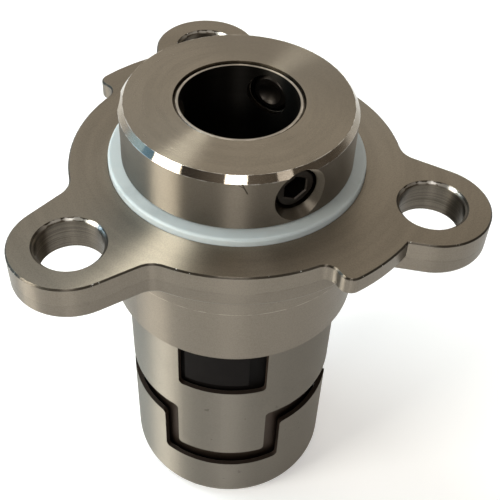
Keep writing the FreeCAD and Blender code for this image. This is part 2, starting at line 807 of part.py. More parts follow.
def make_upper_cup():
    """Floating driver cup: slots hold the face ring's lugs and three tabs hang from its edge."""
    body = new_body("upper_cup")
    web_bore = SLEEVE_RADIUS + size("web_gap")
    turned(body, "cup_wall", [
        (CUP_INNER, TAB_END),
        (CUP_RADIUS, TAB_END),
        (CUP_RADIUS, UPPER_CUP_TOP),
        (CUP_INNER, UPPER_CUP_TOP),
        (CUP_INNER, WEB_TOP),
        (web_bore, WEB_TOP),
        (web_bore, WEB_BASE),
        (CUP_INNER, WEB_BASE),
    ])
    half_spacing = FULL_TURN / size("drive_count") / 2
    gap_half_angle = half_spacing - size("tab_half_angle")
    gap = wall_sector(body, "tab_gap", gap_half_angle, half_spacing, TAB_END)
    opened = padded(body, "tab_gap", gap, size("tab_length"), upward=True, cut=True)
    slot = wall_sector(body, "drive_slot", size("slot_half_angle"), "0", SLOT_FLOOR)
    slot_depth = UPPER_CUP_TOP - SLOT_FLOOR
    slotted = padded(body, "drive_slot", slot, slot_depth, upward=True, cut=True)
    cut = around(body, "drive_cuts", [opened, slotted], size("drive_count"))
    levels = [number(UPPER_CUP_EDGE), number(TAB_END), number(SLOT_FLOOR)]
    radii = number(CUP_INNER), number(CUP_RADIUS)

    def at_corner(edge):
        return any(through_wall(edge, level, *radii) for level in levels)

    softened(body, "cup_corners", "Fillet", cut, at_corner, size("cup_corner"))
    turn(body, size("cup_turn"))
    return body


def wall_sector(body, name, half_angle, direction, level):
    """A sector sketch that spans a cup's wall with room to spare, centred on a direction."""
    wall = size("cup_wall")
    sketch = sketch_on(body, f"{name}_outline", "XY_Plane", level, direction)
    return sector(sketch, CUP_INNER - wall, CUP_RADIUS + wall, half_angle)


def make_lower_cup():
    """Fixed driver cup: drawn sheet with a dished base, three notches and a rounded base edge."""
    body = new_body("lower_cup")
    wall = size("cup_wall")
    bore = NOSE_RADIUS + size("fit")
    dish = SNAP_RING_RADIUS + size("base_dish_room")
    slope = size("base_dish_height")
    bend = wall * (math.sqrt(2) - 1)
    cup = turned(body, "cup_wall", [
        (bore, BASE_UNDER),
        (dish - slope, BASE_UNDER),
        (dish, LOWER_CUP_END),
        (CUP_RADIUS, LOWER_CUP_END),
        (CUP_RADIUS, LOWER_CUP_TOP),
        (CUP_INNER, LOWER_CUP_TOP),
        (CUP_INNER, LOWER_CUP_END + wall),
        (dish + bend, LOWER_CUP_END + wall),
        (dish - slope + bend, BASE_TOP),
        (bore, BASE_TOP),
    ])
    radii = number(CUP_INNER), number(CUP_RADIUS)
    base, floor = number(LOWER_CUP_END), number(LOWER_CUP_END + wall)

    def at_base_edge(edge):
        return lies_at(edge, base) and near(from_axis(ends(edge)[0]), radii[1])

    def at_base_bend(edge):
        return lies_at(edge, floor) and near(from_axis(ends(edge)[0]), radii[0])

    corner = size("lower_cup_corner")
    drawn = softened(body, "base_edge", "Fillet", cup, at_base_edge, corner)
    softened(body, "base_bend", "Fillet", drawn, at_base_bend, corner - wall)
    notch = wall_sector(body, "notch", size("notch_half_angle"), "0", NOTCH_FLOOR)
    notched = padded(body, "notch", notch, size("notch_depth"), upward=True, cut=True)
    cut = around(body, "notches", [notched], size("drive_count"))
    levels = [number(LOWER_CUP_TOP), number(NOTCH_FLOOR)]

    def at_corner(edge):
        return any(through_wall(edge, level, *radii) for level in levels)

    softened(body, "notch_corners", "Fillet", cut, at_corner, size("cup_corner"))
    turn(body, size("cup_turn"))
    return body


def make_spring_pot():
    """Thin drawn pot inside the lower cup that holds the spring and guides the upper cup."""
    body = new_body("spring_pot")
    inner = POT_RADIUS - size("pot_wall")
    bore = FOOT_RADIUS + size("fit")
    turned(body, "pot_wall", [
        (bore, BASE_TOP),
        (POT_RADIUS, BASE_TOP),
        (POT_RADIUS, POT_TOP),
        (inner, POT_TOP),
        (inner, POT_FLOOR),
        (bore, POT_FLOOR),
    ])
    return body


def make_spring_washer():
    """Flat washer that spreads the spring's push over the upper cup's web."""
    body = new_body("spring_washer")
    inner = SLEEVE_RADIUS + size("washer_bore_gap")
    outer = CUP_INNER - size("washer_edge_gap")
    turned(body, "washer_body", [
        (inner, WASHER_BASE),
        (outer, WASHER_BASE),
        (outer, WASHER_TOP),
        (inner, WASHER_TOP),
    ])
    return body


def make_coil_spring():
    """Compression spring with ends ground flat, between the washer and the pot's floor."""
    body = new_body("coil_spring")
    wire = size("spring_wire_radius")
    coil = POT_RADIUS - size("pot_wall") - size("spring_gap") - wire
    start = POT_FLOOR + wire / 2
    height = WASHER_BASE - POT_FLOOR - wire
    profile = sketch_on(body, "wire_outline", "XZ_Plane")
    circle(profile, coil, start, wire)
    helix = body.newObject("PartDesign::AdditiveHelix", "coils")
    helix.Profile = profile
    helix.ReferenceAxis = (profile, ["V_Axis"])
    helix.Mode = "height-turns-angle"
    helix.setExpression("Height", str(height))
    helix.setExpression("Turns", str(size("spring_turns")))
    doc.recompute()
    for name, near_end, far_end in (
        ("ground_base", POT_FLOOR, POT_FLOOR - wire * 2),
        ("ground_top", WASHER_BASE, WASHER_BASE + wire * 2),
    ):
        sketch = outline(sketch_on(body, f"{name}_outline", "XZ_Plane"), [
            (coil - wire * 2, near_end),
            (coil + wire * 2, near_end),
            (coil + wire * 2, far_end),
            (coil - wire * 2, far_end),
        ])
        ground = body.newObject("PartDesign::Groove", name)
        ground.Profile = sketch
        ground.ReferenceAxis = (sketch, ["V_Axis"])
        ground.Angle = 360.0
        doc.recompute()
    return body


def make_retaining_ring():
    """Split ring in the foot's groove that holds the lower cup against the foot."""
    body = new_body("retaining_ring")
    top = BASE_UNDER - size("fit") / 2
    base = top - size("snap_ring_thickness")
    turned(body, "ring_body", [
        (SNAP_GROOVE_RADIUS, base),
        (SNAP_RING_RADIUS, base),
        (SNAP_RING_RADIUS, top),
        (SNAP_GROOVE_RADIUS, top),
    ])
    gap = sketch_on(body, "ring_gap_outline", "XY_Plane", base)
    beyond = SNAP_RING_RADIUS + size("snap_ring_sunk")
    sector(gap, size("shaft_radius"), beyond, size("snap_ring_gap_half_angle"))
    padded(body, "ring_gap", gap, size("snap_ring_thickness"), upward=True, cut=True)
    turn(body, size("cup_turn"))
    return body


def make_rings():
    """The four O-rings, each in its groove or pocket."""
    sleeve_groove = BASE_TOP + size("sleeve_ring_groove_lift") + size("sleeve_ring_groove_width") / 2
    shaft_cord = size("sleeve_ring_groove_depth") / 2 - size("fit") / 2
    face_cord = size("face_ring_cord") / 2
    seat_cord = size("seat_ring_cord") / 2
    seat_groove = SEAT_FACE + size("seat_groove_lift") + size("seat_groove_width") / 2
    cover_cord = size("cover_ring_cord") / 2
    cover_groove = -size("cover_groove_lift") - size("cover_groove_width") / 2
    return [
        make_ring(
            "shaft_o_ring", shaft_cord, size("shaft_radius") + size("fit") + shaft_cord, sleeve_groove
        ),
        make_ring(
            "face_o_ring", face_cord, SLEEVE_RADIUS + size("fit") + face_cord,
            FACE_BASE + face_cord + size("fit"),
        ),
        make_ring(
            "seat_o_ring", seat_cord,
            SEAT_RADIUS - size("seat_groove_depth") + seat_cord, seat_groove,
        ),
        make_ring(
            "cover_o_ring", cover_cord, COVER_GROOVE_RADIUS + cover_cord, cover_groove
        ),
    ]


def make_parts():
    """Every sub-part of the seal."""
    parts = [
        make_cover_flange(),
        make_centring_ring(),
        make_stationary_seat(),
        make_rotary_face(),
        make_upper_cup(),
        make_spring_washer(),
        make_coil_spring(),
        make_shaft_sleeve(),
        make_drive_collar(),
        make_lower_cup(),
        make_spring_pot(),
        make_retaining_ring(),
    ]
    parts += [make_seat_pin(index) for index in range(SIZES["pin_count"])]
    parts += [make_set_screw(index) for index in range(SIZES["screw_count"])]
    return parts + make_rings()


def check_and_write(parts):
    """Stops on any failed object, then writes one file for each sub-part."""
    doc.recompute()
    failed = [o.Name for o in doc.Objects if {"Invalid", "Error"} & set(o.State)]
    if failed:
        raise SystemExit(f"failed: {failed}")
    os.makedirs("parts", exist_ok=True)
    for part in parts:
        shape = part.Shape
        if shape.isNull() or not shape.isValid() or len(shape.Solids) != 1:
            raise SystemExit(f"{part.Label}: no single valid solid")
    for part in parts:
        part.Shape.exportStep(f"parts/{part.Label}.step")
        print(f"{part.Label}: {part.Shape.Volume:.1f} mm3")


check_and_write(make_parts())
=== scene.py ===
"""Looks of the cartridge mechanical seal: camera, studio, finishes, threaded screws and spring."""
import json
import math

import bmesh
import bpy
import numpy as np
from mathutils import Matrix, Vector


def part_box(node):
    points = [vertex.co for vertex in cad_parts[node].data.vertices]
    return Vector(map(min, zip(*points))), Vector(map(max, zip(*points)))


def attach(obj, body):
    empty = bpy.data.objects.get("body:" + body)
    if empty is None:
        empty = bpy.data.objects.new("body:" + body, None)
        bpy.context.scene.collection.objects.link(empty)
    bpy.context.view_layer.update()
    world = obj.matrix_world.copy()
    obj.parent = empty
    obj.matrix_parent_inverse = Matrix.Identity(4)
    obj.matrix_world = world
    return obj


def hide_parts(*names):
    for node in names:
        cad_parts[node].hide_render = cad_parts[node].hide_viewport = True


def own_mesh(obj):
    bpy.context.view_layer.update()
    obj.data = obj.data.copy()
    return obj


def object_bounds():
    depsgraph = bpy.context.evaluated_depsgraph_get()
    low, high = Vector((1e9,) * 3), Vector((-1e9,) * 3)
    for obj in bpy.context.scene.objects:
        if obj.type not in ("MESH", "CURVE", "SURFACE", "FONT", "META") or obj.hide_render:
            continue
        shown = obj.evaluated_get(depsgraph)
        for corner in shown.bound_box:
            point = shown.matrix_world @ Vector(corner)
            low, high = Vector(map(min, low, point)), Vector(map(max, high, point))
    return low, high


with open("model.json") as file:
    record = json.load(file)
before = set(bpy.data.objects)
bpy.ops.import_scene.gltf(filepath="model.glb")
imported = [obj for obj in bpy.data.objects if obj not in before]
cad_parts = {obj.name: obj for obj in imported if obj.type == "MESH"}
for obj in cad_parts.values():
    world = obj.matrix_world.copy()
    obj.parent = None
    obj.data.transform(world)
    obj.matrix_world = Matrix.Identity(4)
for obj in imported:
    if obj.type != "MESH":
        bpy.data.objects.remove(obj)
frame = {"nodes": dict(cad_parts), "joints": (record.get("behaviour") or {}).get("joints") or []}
NODES = frame["nodes"]
CAD_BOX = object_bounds()

MM = 0.001

# The camera, in the frame of the shaft's axis, as fitted to the round edges of the real seal
AIM_LEVEL = 20.3 * MM
CAMERA_ELEVATION = math.radians(45.5)
CAMERA_ROLL = math.radians(3.05)
CAMERA_DISTANCE = 161.12 * MM
CAMERA_RIGHT = 1.86 * MM
CAMERA_UP = -27.1 * MM
SENSOR_WIDTH = 36.0
FOCAL_LENGTH = SENSOR_WIDTH * 900 / 500

# The collar and the bore, which its finish and the sleeve's follow
COLLAR_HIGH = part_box("drive_collar")[1]
COLLAR_RADIUS = COLLAR_HIGH.x
SHAFT_RADIUS = 11.0 * MM
COLLAR_BEVEL_DOWN = 1.3 * MM
COLLAR_BEVEL_ACROSS = 0.9 * MM

# The compass turn towards which the collar top is painted darker, as painted shade that dims its
# highlight there
SHADED_SIDE_TURN = math.radians(55)

# The levels and radii of the sleeve, cover, cups, spring and face
SLEEVE_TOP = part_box("shaft_sleeve")[1].z
PLATE_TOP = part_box("cover_flange")[1].z
SPIGOT_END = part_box("cover_flange")[0].z
CUP_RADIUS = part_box("upper_cup")[1].x
CUP_WALL = 1.0 * MM
FACE_RADIUS = max(v.co.xy.length for v in NODES["rotary_face"].data.vertices)
BASE_CORNER_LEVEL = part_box("lower_cup")[0].z + 5.0 * MM
LAND_RADIUS = 26.5 * MM
LAND_END = -8.4 * MM
SPIGOT_RADIUS = 25.0 * MM
WITNESS_LEVEL = 3.3 * MM
COVER_CUT_LEAD = math.radians(-9)
BOLT_CIRCLE_RADIUS = 37.5 * MM
BOLT_HOLE_RADIUS = 6.0 * MM
EAR_TURNS = [math.radians(turn) for turn in (223.1, 343.1, 103.1)]

# The spring's wire and turns
SPRING_WIRE_RADIUS = 1.4 * MM
SPRING_TURNS = 4.5

# The set screws' thread, point and socket
SCREW_PITCH = 1.25 * MM
THREAD_DEPTH = 0.70 * MM
POINT_CONE = 1.0 * MM
HEAD_CONE = 0.5 * MM
CUP_POINT_DEPTH = 0.9 * MM
CUP_POINT_RADIUS = 2.4 * MM
SOCKET_FLATS = 4.2 * MM

# The depth of a turning tool's marks
TURNED_DEPTH = 0.000003

# The colours of the finishes
COLLAR_TONE = (0.220, 0.190, 0.150)
SLEEVE_TONE = (0.30, 0.27, 0.23)
COVER_TOP_TONE = (0.245, 0.211, 0.166)
COVER_WALL_TONE = (0.198, 0.172, 0.139)
CUP_TONE = (0.218, 0.198, 0.167)
HEAT_TINT = (0.022, 0.015, 0.011)
SCREW_TONE = (0.055, 0.047, 0.040)
RING_TONE = (0.49, 0.54, 0.545)
FACE_TONE = (0.006, 0.005, 0.0045)
DARK_SCRATCH = (0.05, 0.04, 0.03)
FAINT_SCRATCH = (0.06, 0.05, 0.04)

# Each scratch or dot: its start, end and width, and its colour
COLLAR_MARKS = [
    ((1.5 * MM, -21.75 * MM, 19.0 * MM), (2.4 * MM, -21.7 * MM, 17.0 * MM), 0.16 * MM, DARK_SCRATCH),
    ((0.9 * MM, -21.75 * MM, 18.8 * MM), (1.8 * MM, -21.7 * MM, 18.2 * MM), 0.10 * MM, FAINT_SCRATCH),
]
COVER_DOT = (-30.35 * MM, -11.9 * MM, PLATE_TOP)
COVER_MARKS = [
    (COVER_DOT, COVER_DOT, 0.25 * MM, (0.20, 0.17, 0.14)),
    ((17.9 * MM, -28.6 * MM, 4.2 * MM), (20.4 * MM, -27.4 * MM, 4.1 * MM), 0.22 * MM, DARK_SCRATCH),
]


def make_camera():
    """Looks down at the seal from the front, a little rolled."""
    back = Vector((0, -math.cos(CAMERA_ELEVATION), math.sin(CAMERA_ELEVATION)))
    right = Vector((1, 0, 0))
    up = back.cross(right)
    rolled_right = math.cos(CAMERA_ROLL) * right + math.sin(CAMERA_ROLL) * up
    rolled_up = math.cos(CAMERA_ROLL) * up - math.sin(CAMERA_ROLL) * right
    place = back * CAMERA_DISTANCE + rolled_right * CAMERA_RIGHT + rolled_up * CAMERA_UP
    place.z += AIM_LEVEL
    camera = bpy.data.objects.new("camera", bpy.data.cameras.new("camera"))
    camera.data.lens = FOCAL_LENGTH
    camera.data.sensor_width = SENSOR_WIDTH
    camera.data.clip_start = 0.01
    camera.data.clip_end = 20
    turn = Matrix((rolled_right, rolled_up, back)).transposed().to_4x4()
    camera.matrix_world = Matrix.Translation(place) @ turn
    bpy.context.scene.collection.objects.link(camera)
    bpy.context.scene.camera = camera


class Graph:
    """A node tree and short calls that place a node and return its output."""

    def __init__(self, tree):
        self.tree = tree

    def node(self, kind, settings=None, **inputs):
        """A node with its settings and its inputs, each a value or another node's output."""
        made = self.tree.nodes.new(kind)
        for name, value in (settings or {}).items():
            setattr(made, name, value)
        for name, value in inputs.items():
            self.put(made.inputs[name.replace("_", " ")], value)
        return made

    def put(self, socket, value):
        """Links an output to a socket, or sets the socket to a value."""
        if isinstance(value, bpy.types.NodeSocket):
            self.tree.links.new(value, socket)
        else:
            socket.default_value = value

    def math(self, operation, *values):
        """One sum on numbers."""
        made = self.tree.nodes.new("ShaderNodeMath")
        made.operation = operation
        for socket, value in zip(made.inputs, values):
            self.put(socket, value)
        return made.outputs[0]

    def vector(self, operation, *values):
        """One sum on vectors, whose answer is a vector."""
        made = self.tree.nodes.new("ShaderNodeVectorMath")
        made.operation = operation
        for socket, value in zip(made.inputs, values):
            self.put(socket, value)
        return made.outputs[0]

    def dot(self, first, second):
        """Two vectors' dot product."""
        made = self.tree.nodes.new("ShaderNodeVectorMath")
        made.operation = "DOT_PRODUCT"
        self.put(made.inputs[0], first)
        self.put(made.inputs[1], second)
        return made.outputs["Value"]

    def scaled(self, value, factor):
        """A vector times a number."""
        made = self.tree.nodes.new("ShaderNodeVectorMath")
        made.operation = "SCALE"
        self.put(made.inputs[0], value)
        self.put(made.inputs["Scale"], factor)
        return made.outputs[0]

    def between(self, value, low, high, soft):
        """1 where a value lies between low and high, with soft ends."""
        above = self.ramp(value, low - soft, low + soft)
        below = self.ramp(value, high - soft, high + soft)
        return self.math("SUBTRACT", above, below)

    def length(self, value):
        """A vector's length."""
        made = self.tree.nodes.new("ShaderNodeVectorMath")
        made.operation = "LENGTH"
        self.put(made.inputs[0], value)
        return made.outputs["Value"]

    def split(self, value):
        """A vector's three parts."""
        return self.node("ShaderNodeSeparateXYZ", Vector=value).outputs

    def join(self, x, y, z):
        """A vector of three numbers."""
        return self.node("ShaderNodeCombineXYZ", X=x, Y=y, Z=z).outputs[0]

    def ramp(self, value, low, high):
        """A smooth step from 0 at low to 1 at high."""
        made = self.node(
            "ShaderNodeMapRange", {"interpolation_type": "SMOOTHSTEP"},
            Value=value, From_Min=low, From_Max=high,
        )
        return made.outputs[0]

    def noise(self, vector, scale, detail=2.0, roughness=0.5, w=None):
        """Noise from 0 to 1, in four dimensions where w is given."""
        made = self.node(
            "ShaderNodeTexNoise", {"noise_dimensions": "4D" if w is not None else "3D"},
            Vector=vector, Scale=scale, Detail=detail, Roughness=roughness,
        )
        if w is not None:
            self.put(made.inputs["W"], w)
        return made.outputs[0]

    def mix(self, share, first, second):
        """A blend of two colours."""
        made = self.tree.nodes.new("ShaderNodeMix")
        made.data_type = "RGBA"
        self.put(made.inputs[0], share)
        self.put(made.inputs[6], first)
        self.put(made.inputs[7], second)
        return made.outputs[2]

    def use(self, group, **inputs):
        """A node group placed with its own values."""
        made = self.tree.nodes.new("ShaderNodeGroup")
        made.node_tree = group
        for name, value in inputs.items():
            self.put(made.inputs[name.replace("_", " ")], value)
        return made.outputs


def new_group(name, inputs, outputs):
    """An empty shader group with named sockets. Returns the tree, its graph and its two ends."""
    tree = bpy.data.node_groups.new(name, "ShaderNodeTree")
    for socket, value in inputs.items():
        kind = "NodeSocketVector" if value is None else "NodeSocketFloat"
        made = tree.interface.new_socket(name=socket, in_out="INPUT", socket_type=kind)
        if value is not None:
            made.default_value = value
    for socket in outputs:
        tree.interface.new_socket(name=socket, in_out="OUTPUT", socket_type="NodeSocketFloat")
    source = tree.nodes.new("NodeGroupInput").outputs
    result = tree.nodes.new("NodeGroupOutput").inputs
    return tree, Graph(tree), source, result


def turned_marks_group():
    """Marks of a turning tool: noise that is long around the shaft, and fine across and along it."""
    inputs = {"Vector": None, "Pitch": 0.0002, "Length": 3.0}
    tree, g, source, result = new_group("turned_marks", inputs, ["Height", "Tone"])
    x, y, z = g.split(source["Vector"])
    radius = g.math("MAXIMUM", g.length(g.join(x, y, 0.0)), 0.0001)
    along = source["Length"]
    around = g.math("MULTIPLY", g.math("DIVIDE", x, radius), along)
    across = g.math("MULTIPLY", g.math("DIVIDE", y, radius), along)
    fine = g.math("DIVIDE", 1.0, source["Pitch"])
    place = g.join(around, across, g.math("MULTIPLY", radius, fine))
    height = g.noise(place, 1.0, 3.0, 0.6, w=g.math("MULTIPLY", z, fine))
    broad = g.math("MULTIPLY", fine, 0.12)
    wide = g.join(around, across, g.math("MULTIPLY", radius, broad))
    tone = g.noise(wide, 1.0, 2.0, 0.5, w=g.math("MULTIPLY", z, broad))
    g.put(result["Height"], height)
    g.put(result["Tone"], tone)
    return tree


def stains_group():
    """Soft smudges: low noise, cut off below a share of its range."""
    inputs = {"Vector": None, "Size": 0.01, "Cover": 0.5}
    tree, g, source, result = new_group("stains", inputs, ["Mask"])
    scale = g.math("DIVIDE", 1.0, source["Size"])
    clouds = g.noise(source["Vector"], scale, 5.0, 0.6)
    low = g.math("SUBTRACT", 1.0, source["Cover"])
    g.put(result["Mask"], g.ramp(clouds, low, g.math("ADD", low, 0.25)))
    return tree


def mark_group():
    """A scratch or dot: 1 nearer than its width to the straight line from Start to End."""
    inputs = {"Vector": None, "Start": None, "End": None, "Width": 0.0002}
    tree, g, source, result = new_group("mark", inputs, ["Mask"])
    line = g.vector("SUBTRACT", source["End"], source["Start"])
    away = g.vector("SUBTRACT", source["Vector"], source["Start"])
    long = g.math("MAXIMUM", g.length(line), 0.00001)
    share = g.math("DIVIDE", g.dot(away, line), g.math("MULTIPLY", long, long))
    share = g.math("MINIMUM", g.math("MAXIMUM", share, 0.0), 1.0)
    distance = g.length(g.vector("SUBTRACT", away, g.scaled(line, share)))
    rough = g.noise(source["Vector"], 6000.0, 2.0)
    limit = g.math("MULTIPLY", source["Width"], g.math("ADD", rough, 0.5))
    inner = g.math("MULTIPLY", limit, 0.5)
    g.put(result["Mask"], g.math("SUBTRACT", 1.0, g.ramp(distance, inner, limit)))
    return tree


def glinting_edge_group():
    """A turned edge at a radius and level: 1 on it, less by Width away, and broken up by noise."""
    inputs = {"Vector": None, "Radius": 0.02, "Level": 0.0, "Width": 0.0002}
    tree, g, source, result = new_group("worn_and_glinting_edge", inputs, ["Mask"])
    x, y, z = g.split(source["Vector"])
    outwards = g.math("SUBTRACT", g.length(g.join(x, y, 0.0)), source["Radius"])
    upwards = g.math("SUBTRACT", z, source["Level"])
    distance = g.length(g.join(outwards, upwards, 0.0))
    broken = g.ramp(g.noise(source["Vector"], 500.0, 3.0), 0.40, 0.62)
    limit = g.math("MULTIPLY", source["Width"], g.math("ADD", broken, 0.1))
    inner = g.math("MULTIPLY", limit, 0.3)
    g.put(result["Mask"], g.math("SUBTRACT", 1.0, g.ramp(distance, inner, limit)))
    return tree


TURNED_MARKS = turned_marks_group()
STAINS = stains_group()
MARK = mark_group()
GLINTING_EDGE = glinting_edge_group()


def new_finish(name, metallic, roughness, anisotropy=0.0):
    """A material with one Principled shader. Returns it with its graph, shader and coordinates."""
    finish = bpy.data.materials.new(name)
    finish.use_nodes = True
    g = Graph(finish.node_tree)
    shader = finish.node_tree.nodes["Principled BSDF"]
    shader.inputs["Metallic"].default_value = metallic
    shader.inputs["Roughness"].default_value = roughness
    shader.inputs["Anisotropic"].default_value = anisotropy
    place = g.node("ShaderNodeTexCoord").outputs["Object"]
    return finish, g, shader, place


def across_the_cut(g, shader, place, lead=0.0):
    """Spreads highlights across the tool's cut, which is level on walls and round the shaft on flats.

    On a flat the cut may lead away from a circle by an angle, as a fast feed leaves it.
    """
    around = g.join(
        g.dot(place, (-math.sin(lead), -math.cos(lead), 0.0)),
        g.dot(place, (math.cos(lead), -math.sin(lead), 0.0)),
        0.0,
    )
    settings = {"vector_type": "VECTOR", "convert_from": "OBJECT", "convert_to": "WORLD"}
    turned = g.node("ShaderNodeVectorTransform", settings, Vector=around).outputs[0]
    upright = g.node("ShaderNodeVectorTransform", settings, Vector=(0.0, 0.0, 1.0)).outputs[0]
    facing = g.node("ShaderNodeNewGeometry").outputs["Normal"]
    level = g.vector("CROSS_PRODUCT", upright, facing)
    cut = g.vector("ADD", level, g.scaled(g.vector("NORMALIZE", turned), 0.02))
    g.put(shader.inputs["Tangent"], g.vector("NORMALIZE", g.vector("CROSS_PRODUCT", facing, cut)))


def bump(g, shader, height, distance, strength=1.0):
    """Feeds a height of 0 to 1 over a distance in metres to the shader's normal."""
    made = g.node("ShaderNodeBump", Strength=strength, Distance=distance, Height=height)
    g.put(shader.inputs["Normal"], made.outputs[0])


def colour(red, green, blue):
    """A colour with full alpha."""
    return (red, green, blue, 1.0)


def shade(tint, factor):
    """A colour made lighter or darker by a factor."""
    return colour(*[part * factor for part in tint])


def add_marks(g, place, tint, marks):
    """Lays small scratches and dots over a colour."""
    for start, end, width, mark_tint in marks:
        mask = g.use(MARK, Vector=place, Start=start, End=end, Width=width)["Mask"]
        tint = g.mix(mask, tint, colour(*mark_tint))
    return tint


def add_speckle(g, place, tint, share):
    """Darkens a colour by fine even specks, as bead-fine tool marks do."""
    specks = g.ramp(g.noise(place, 4200.0, 2.0, 0.7), 0.42, 0.62)
    return g.mix(g.math("MULTIPLY", specks, share), tint, colour(0.02, 0.017, 0.013))


def add_edge_glints_and_wear(g, place, tint, edges, light):
    """Lightens turned edges, each a pair of radius and level, partly as wear from handling and partly
    as painted highlight where the edges catch the light.
    """
    for radius, level, width in edges:
        mask = g.use(GLINTING_EDGE, Vector=place, Radius=radius, Level=level, Width=width)["Mask"]
        tint = g.mix(g.math("MULTIPLY", mask, 0.7), tint, colour(*light))
    return tint


def turned_steel(name, tone, roughness, pitch, depth, anisotropy):
    """Turned stainless steel: fine rings, faint broad rings and smudges.

    Returns the finish with what a piece's own details are added to.
    """
    finish, g, shader, place = new_finish(name, 1.0, roughness, anisotropy)
    across_the_cut(g, shader, place)
    rings = g.use(TURNED_MARKS, Vector=place, Pitch=pitch, Length=1.5)
    smudge = g.use(STAINS, Vector=place, Size=0.009, Cover=0.45)["Mask"]
    tint = g.mix(g.ramp(rings["Tone"], 0.3, 0.7), shade(tone, 0.95), shade(tone, 1.05))
    tint = g.mix(g.math("MULTIPLY", smudge, 0.12), tint, shade(tone, 0.7))
    worn = g.math("MULTIPLY", g.math("SUBTRACT", rings["Height"], 0.5), 0.12)
    gloss = g.math("ADD", roughness, g.math("ADD", worn, g.math("MULTIPLY", smudge, 0.04)))
    g.put(shader.inputs["Base Color"], tint)
    g.put(shader.inputs["Roughness"], gloss)
    bump(g, shader, rings["Height"], depth)
    return finish, g, shader, place, tint, gloss


def collar_steel():
    """The collar: matt ground top, a bevel cut bright as a mirror, and a glossy turned side."""
    finish, g, shader, place, tint, gloss = turned_steel(
        "collar_steel", COLLAR_TONE, 0.25, 0.00018, TURNED_DEPTH, 1.0
    )
    x, y, z = g.split(place)
    on_top = g.ramp(z, COLLAR_HIGH.z - 0.04 * MM, COLLAR_HIGH.z - 0.01 * MM)
    below_top = g.math("SUBTRACT", 1.0, on_top)
    bevel = g.between(z, COLLAR_HIGH.z - COLLAR_BEVEL_DOWN, COLLAR_HIGH.z - 0.03 * MM, 0.02 * MM)
    # Painted shade: the collar top darkens towards this turn to dim its highlight, and is a touch less
    # rough there
    towards_shaded_side = g.dot(place, (math.cos(SHADED_SIDE_TURN), math.sin(SHADED_SIDE_TURN), 0.0))
    shaded_side = g.math("MULTIPLY", g.ramp(towards_shaded_side, 2.0 * MM, 15.0 * MM), on_top)
    gloss = g.math("ADD", gloss, g.math("MULTIPLY", shaded_side, -0.02))
    tint = g.mix(g.math("MULTIPLY", shaded_side, 0.9), tint, shade(COLLAR_TONE, 0.76))
    gloss = g.math("ADD", gloss, g.math("MULTIPLY", below_top, 0.20))
    g.put(shader.inputs["Roughness"], g.math("SUBTRACT", gloss, g.math("MULTIPLY", bevel, 0.34)))
    tint = g.mix(below_top, tint, shade(COLLAR_TONE, 0.86))
    tint = g.mix(g.math("MULTIPLY", bevel, 0.9), tint, shade(COLLAR_TONE, 1.6))
    tint = add_speckle(g, place, tint, 0.12)
    # Painted shade: the bore and hole walls within 20 mm of the axis, below the top, are darkened
    inside = g.math("SUBTRACT", 1.0, g.ramp(g.length(g.join(x, y, 0.0)), 20.0 * MM, 20.8 * MM))
    bore_and_hole_shade = g.math("MULTIPLY", inside, below_top)
    tint = g.mix(g.math("MULTIPLY", bore_and_hole_shade, 0.7), tint, shade(COLLAR_TONE, 0.25))
    # Painted highlights, partly wear, on the bevel's two edges
    edges = [
        (COLLAR_RADIUS - COLLAR_BEVEL_ACROSS, COLLAR_HIGH.z, 0.14 * MM),
        (COLLAR_RADIUS, COLLAR_HIGH.z - COLLAR_BEVEL_DOWN, 0.16 * MM),
    ]
    tint = add_edge_glints_and_wear(g, place, tint, edges, (0.60, 0.57, 0.52))
    g.put(shader.inputs["Base Color"], add_marks(g, place, tint, COLLAR_MARKS))
    return finish


def sleeve_steel():
    """The sleeve: turned, with painted highlight and wear lightening its rim, and painted shade
    darkening its bore.
    """
    finish, g, shader, place, tint, _ = turned_steel(
        "sleeve_steel", SLEEVE_TONE, 0.3, 0.0002, TURNED_DEPTH, 0.8
    )
    x, y, z = g.split(place)
    radius = g.length(g.join(x, y, 0.0))
    # Painted shade down the bore
    bore = g.math("SUBTRACT", 1.0, g.ramp(radius, SHAFT_RADIUS + 0.03 * MM, SHAFT_RADIUS + 0.1 * MM))
    tint = g.mix(bore, tint, shade(SLEEVE_TONE, 0.2))
    # Painted highlight, partly wear, on the rim
    rim = [(SHAFT_RADIUS + 0.7 * MM, SLEEVE_TOP - 0.1 * MM, 0.6 * MM)]
    g.put(shader.inputs["Base Color"], add_edge_glints_and_wear(g, place, tint, rim, (0.55, 0.50, 0.44)))
    return finish


